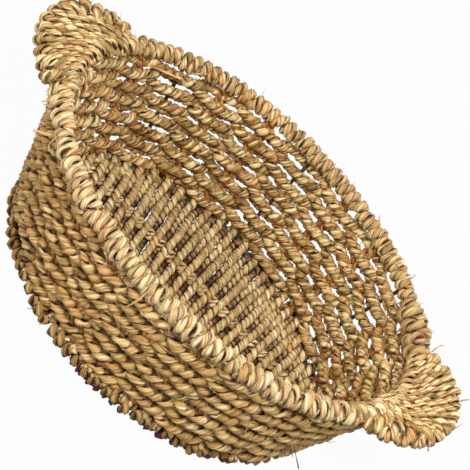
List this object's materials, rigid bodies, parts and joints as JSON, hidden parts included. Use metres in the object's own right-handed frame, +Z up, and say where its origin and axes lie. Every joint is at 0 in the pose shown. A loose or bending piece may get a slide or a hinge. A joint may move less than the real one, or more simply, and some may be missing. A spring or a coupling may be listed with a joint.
{
  "type": "oval casserole carrier basket",
  "caption": "Oval open basket of woven seagrass cord on a steel wire frame, with a wound rim, a laced floor and a cord-wound ear handle at each end.",
  "frame": {"origin": "on the resting plane, under the middle of the oval", "axes": "+Z up out of the open top, +X along the long axis towards the right ear handle, +Y across the basket"},
  "size_m": [0.4198, 0.247, 0.1327],
  "materials": {
    "frame_wire": "satin",
    "wall_cord": "matte",
    "stake_cord": "matte",
    "rim_cord": "matte",
    "handle_cord": "matte",
    "floor_cord": "matte"
  },
  "bodies": {
    "root": {"rim_ring": "frame_wire", "base_ring": "frame_wire", "wire_upright_1": "frame_wire", "wire_upright_2": "frame_wire", "wire_upright_3": "frame_wire", "wire_upright_4": "frame_wire", "wire_upright_5": "frame_wire", "wire_upright_6": "frame_wire", "wire_upright_7": "frame_wire", "wire_upright_8": "frame_wire", "cord_stake_01": "stake_cord", "cord_stake_02": "stake_cord", "cord_stake_03": "stake_cord", "cord_stake_04": "stake_cord", "cord_stake_05": "stake_cord", "cord_stake_06": "stake_cord", "cord_stake_07": "stake_cord", "cord_stake_08": "stake_cord", "cord_stake_09": "stake_cord", "cord_stake_10": "stake_cord", "cord_stake_11": "stake_cord", "cord_stake_12": "stake_cord", "cord_stake_13": "stake_cord", "cord_stake_14": "stake_cord", "cord_stake_15": "stake_cord", "cord_stake_16": "stake_cord", "right_handle_loop": "frame_wire", "right_handle_winding": "handle_cord", "left_handle_loop": "frame_wire", "left_handle_winding": "handle_cord", "rim_winding_1": "rim_cord", "rim_winding_2": "rim_cord", "rim_winding_3": "rim_cord", "rim_winding_4": "rim_cord", "wall_row_01": "wall_cord", "wall_row_02": "wall_cord", "wall_row_03": "wall_cord", "wall_row_04": "wall_cord", "wall_row_05": "wall_cord", "wall_row_06": "wall_cord", "wall_row_07": "wall_cord", "wall_row_08": "wall_cord", "wall_row_09": "wall_cord", "wall_row_10": "wall_cord", "wall_row_11": "wall_cord", "wall_row_12": "wall_cord", "wall_row_13": "wall_cord", "floor_lacing": "floor_cord", "floor_stay_1": "floor_cord", "floor_stay_2": "floor_cord"}
  },
  "joints": []
}
